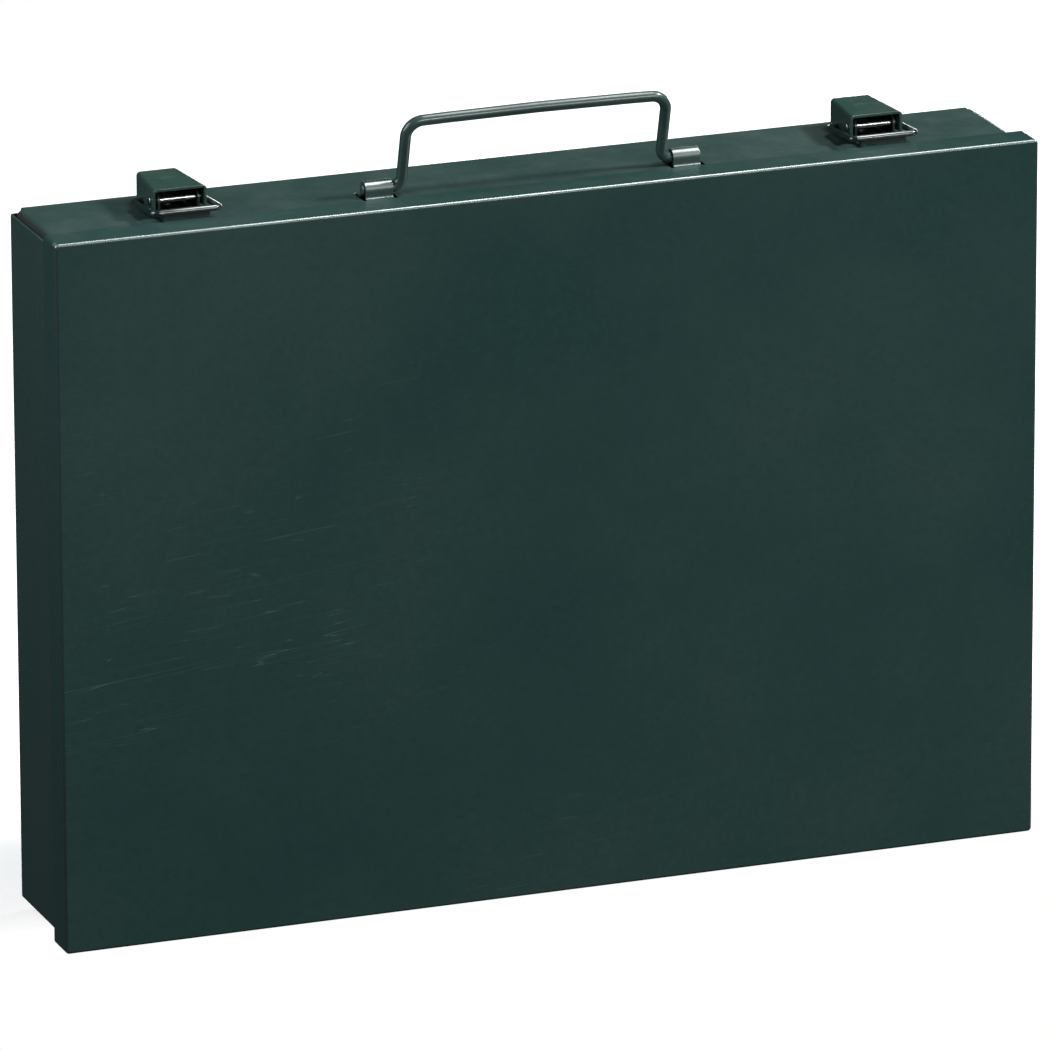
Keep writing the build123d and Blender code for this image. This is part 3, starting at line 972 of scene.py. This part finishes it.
class BOX_OT_bails(bpy.types.Operator):
    """The two wire bails, their ends turned into the levers' side walls"""

    bl_idname = "box.bails"
    bl_label = "Bails"

    def execute(self, context):
        size = context.scene.box_latch
        material = bail_enamel()
        end_bend, corner_bend, chamfer = 1.6 * MM, 2.0 * MM, 0.2 * MM
        # How deep the bail's ends are set into the lever's walls
        set_in = 0.45 * MM
        for hand in HANDS:
            node = hand + "_latch_bail"
            pivot = joint_place(hand + "_bail_swing")
            low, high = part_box(node)
            bar = Vector((pivot.x, low.y + size.wire, high.z - size.wire))
            forward = (bar - pivot).normalized()
            turn = -X_AXIS.cross(forward)
            arm_x = size.bail_width / 2 - size.wire
            lever_low, lever_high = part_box(hand + "_latch_lever")
            along = (pivot.y - lever_low.y) / (lever_high.y - lever_low.y)
            wall = (size.front_width + (size.back_width - size.front_width) * along) / 2 - size.sheet
            tuck = arm_x - end_bend - (wall - set_in) - chamfer
            arm = (bar - pivot).length - end_bend - corner_bend
            half = (("run", tuck), ("bend", end_bend, QUARTER, turn), ("run", arm))
            corner = ("bend", corner_bend, QUARTER, turn)
            wire = bend_wire(
                pivot - X_AXIS * (arm_x - end_bend - tuck - chamfer),
                -X_AXIS,
                size.wire,
                sides=24,
                moves=(*half, corner, ("run", 2 * (arm_x - corner_bend)), corner, *reversed(half)),
                chamfer=chamfer,
            )
            finish_piece(wire, hand + "_bail_wire", hand + "_bail", [node], material)
        return {"FINISHED"}


class BOX_OT_levers(bpy.types.Operator):
    """The two levers, each a tapered hood folded from one sheet with a pressed thumb mark"""

    bl_idname = "box.levers"
    bl_label = "Latch levers"

    def execute(self, context):
        material = latch_enamel()
        for hand in HANDS:
            lever = self.fold(hand, context.scene.box_latch)
            node = hand + "_latch_lever"
            name = hand + "_lever_hood"
            finish_piece(lever, name, hand + "_lever", [node], material, sheet=True)
        return {"FINISHED"}

    def fold(self, hand, size):
        """Shape a block into the hood's outside, then give it its sheet, holes and thumb mark"""
        low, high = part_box(hand + "_latch_lever")
        pivot = joint_place(hand + "_latch_lift")
        bail = joint_place(hand + "_bail_swing")
        middle = (low + high) / 2
        clear_selection()
        bpy.ops.mesh.primitive_cube_add(
            size=1, location=middle, scale=(size.front_width, high.y - low.y, high.z - low.z)
        )
        lever = bpy.context.object
        bpy.ops.object.transform_apply(location=True, rotation=True, scale=True)
        bpy.ops.object.mode_set(mode="EDIT")
        pick("VERT", lambda place, normal: place.y > middle.y)
        taper = size.back_width / size.front_width
        bpy.ops.transform.resize(value=(taper, 1, 1), center_override=middle)
        pick("FACE", lambda place, normal: normal.z < -0.9 or normal.y < -0.9)
        bpy.ops.mesh.delete(type="FACE")
        pick(
            "EDGE",
            lambda place, run: (place.z > high.z - size.fold and place.y > low.y + size.fold)
            or (place.y > high.y - size.fold and abs(run.z) > 0.9),
        )
        bpy.ops.mesh.bevel(offset=size.fold, segments=6, profile=0.5, affect="EDGES")
        self.trim_skirts(size, low, high, pivot, bail)
        bpy.ops.object.mode_set(mode="OBJECT")
        apply_modifier(lever, "SOLIDIFY", thickness=size.sheet, offset=-1, use_even_offset=True)
        pin_slack, wire_slack, ease = 0.05 * MM, 0.08 * MM, 0.12 * MM
        for place, radius in ((pivot, size.pin + pin_slack), (bail, size.wire + wire_slack)):
            clear_selection()
            bpy.ops.mesh.primitive_cylinder_add(
                vertices=32,
                radius=radius,
                depth=2 * size.front_width,
                location=place,
                rotation=(0, QUARTER, 0),
            )
            self.subtract(lever, bpy.context.object)
        self.press_thumb_mark(lever, middle, high.z, size.dimple)
        select_only(lever)
        apply_modifier(
            lever, "BEVEL", width=ease, segments=2, limit_method="ANGLE", angle_limit=math.radians(50)
        )
        return lever

    def trim_skirts(self, size, low, high, pivot, bail):
        """Part the hood across its step, cut each end's walls to their outline and join them again"""
        step_y = pivot.y + 2.4 * MM
        skirt_z = low.z + 2.6 * MM
        notch_y = pivot.y - size.pin
        bail_front = bail.y - 2 * size.wire
        bail_back = bail.y + 3 * size.wire
        bpy.ops.mesh.select_all(action="SELECT")
        bpy.ops.mesh.bisect(plane_co=(0, step_y, 0), plane_no=(0, 1, 0))
        pick("FACE", lambda at, normal: at.y < step_y)
        bpy.ops.mesh.split()
        cuts = (
            (-1, (0, 0, skirt_z), (0, 0, -1)),
            (-1, (0, notch_y, skirt_z), (0, skirt_z - pivot.z - size.pin, low.y - notch_y)),
            (1, (0, step_y, skirt_z), (0, low.z - skirt_z, step_y - bail_front)),
            (1, (0, bail_back, low.z), (0, size.tip, bail_back - high.y)),
        )
        for side, place, away in cuts:
            pick("FACE", lambda at, normal: side * (at.y - step_y) > 0)
            bpy.ops.mesh.bisect(plane_co=place, plane_no=away, clear_outer=True, use_fill=False)
        bpy.ops.mesh.select_all(action="SELECT")
        bpy.ops.mesh.remove_doubles(threshold=0.001 * MM)

    def press_thumb_mark(self, lever, middle, top, depth):
        """A shallow oval pressed into the lever's top"""
        clear_selection()
        bpy.ops.mesh.primitive_uv_sphere_add(segments=48, ring_count=24, radius=1)
        ball = bpy.context.object
        half_width, half_length, reach = 5.0 * MM, 2.6 * MM, 3 * depth
        ball.scale = (half_width, half_length, reach)
        ball.location = (middle.x, middle.y, top + reach - depth)
        self.subtract(lever, ball)

    def subtract(self, piece, cutter):
        """Take one shape out of another and delete the cutter"""
        select_only(piece)
        apply_modifier(piece, "BOOLEAN", operation="DIFFERENCE", object=cutter, solver="EXACT")
        bpy.data.objects.remove(cutter, do_unlink=True)


class BOX_OT_plates(bpy.types.Operator):
    """The latches' two folded base plates"""

    bl_idname = "box.plates"
    bl_label = "Latch plates"

    def execute(self, context):
        material = shaded_plate_enamel()
        ease = 0.1 * MM
        for hand in HANDS:
            node = hand + "_latch_base"
            plate = ease_sheet(node, ease)
            finish_piece(plate, hand + "_latch_plate", "box", [node], material, sheet=True)
        return {"FINISHED"}


class BOX_OT_pins(bpy.types.Operator):
    """The pivot pins and the rivets, with their heads upset"""

    bl_idname = "box.pins"
    bl_label = "Pins and rivets"

    def execute(self, context):
        pin_material = pin_steel("latch_pin_steel")
        rivet_material = shaded_rivet_steel()
        for hand in HANDS:
            self.make_pin(hand, context.scene.box_latch, pin_material)
            self.make_rivets(hand, rivet_material)
        return {"FINISHED"}

    def make_pin(self, hand, size, material):
        low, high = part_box(hand + "_latch_pin")
        middle = (low + high) / 2
        head, dome = 0.4 * MM, 0.3 * MM
        shank = high.x - low.x - 2 * head
        radius = (high.z - low.z) / 2
        parts = [self.round_bar(middle, (0, QUARTER, 0), size.pin, shank)]
        for side in (-1, 1):
            place = middle + X_AXIS * side * (shank + head) / 2
            parts.append(self.round_bar(place, (0, side * QUARTER, 0), radius, head, dome))
        self.join(parts, hand + "_pivot_pin", hand + "_latch_pin", material)

    def make_rivets(self, hand, material):
        low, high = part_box(hand + "_latch_rivets")
        middle = (low + high) / 2
        radius = (high.x - low.x) / 2
        shank_radius, head, dome = 1.5 * MM, 0.8 * MM, 0.6 * MM
        between_heads = high.z - low.z - head
        parts = []
        for y in (low.y + radius, high.y - radius):
            place = Vector((middle.x, y, middle.z))
            parts.append(self.round_bar(place, (0, 0, 0), shank_radius, between_heads))
            for side, turn in ((-1, math.pi), (1, 0)):
                seat = Vector((place.x, y, place.z + side * between_heads / 2))
                parts.append(self.round_bar(seat, (turn, 0, 0), radius, head, dome))
        self.join(parts, hand + "_base_rivets", hand + "_latch_rivets", material)

    def round_bar(self, place, turn, radius, length, dome=0.0):
        """A short bar, its far end rounded over where it has a dome"""
        clear_selection()
        bpy.ops.mesh.primitive_cylinder_add(vertices=32, radius=radius, depth=length)
        if dome:
            bpy.ops.object.mode_set(mode="EDIT")
            pick("EDGE", lambda at, run: at.z > 0.4 * length)
            bpy.ops.mesh.bevel(offset=dome, segments=5, profile=0.5, affect="EDGES")
            bpy.ops.object.mode_set(mode="OBJECT")
        bar = bpy.context.object
        bar.rotation_euler = turn
        bar.location = place
        bpy.ops.object.transform_apply(location=True, rotation=True, scale=True)
        return bar

    def join(self, parts, name, node, material):
        clear_selection()
        for part in parts:
            part.select_set(True)
        bpy.context.view_layer.objects.active = parts[0]
        bpy.ops.object.join()
        finish_piece(parts[0], name, "box", [node], material)


class BOX_PT_panel(bpy.types.Panel):
    """Lists the steps of dressing the box"""

    bl_idname = "BOX_PT_panel"
    bl_label = "Compartment box"
    bl_space_type = "VIEW_3D"
    bl_region_type = "UI"
    bl_category = "Box"

    def draw(self, context):
        for step in STEPS:
            self.layout.operator(step.bl_idname)


LOOKS = (
    ("box_stage", StageLook),
    ("box_finish", FinishLook),
    ("box_handle", HandleSize),
    ("box_latch", LatchSize),
)
STEPS = (
    BOX_OT_stage,
    BOX_OT_effects,
    BOX_OT_pans,
    BOX_OT_hinge,
    BOX_OT_dividers,
    BOX_OT_handle,
    BOX_OT_bails,
    BOX_OT_levers,
    BOX_OT_plates,
    BOX_OT_pins,
)
CLASSES = (*[look for _, look in LOOKS], *STEPS, BOX_PT_panel)


def register():
    for item in CLASSES:
        bpy.utils.register_class(item)
    for name, look in LOOKS:
        setattr(bpy.types.Scene, name, bpy.props.PointerProperty(type=look))


def unregister():
    for name, _ in LOOKS:
        delattr(bpy.types.Scene, name)
    for item in reversed(CLASSES):
        bpy.utils.unregister_class(item)


def main():
    register()
    bpy.ops.box.stage()
    bpy.ops.box.effects()
    bpy.ops.box.pans()
    bpy.ops.box.hinge()
    bpy.ops.box.dividers()
    bpy.ops.box.handle()
    bpy.ops.box.bails()
    bpy.ops.box.levers()
    bpy.ops.box.plates()
    bpy.ops.box.pins()


if __name__ == "__main__":
    main()
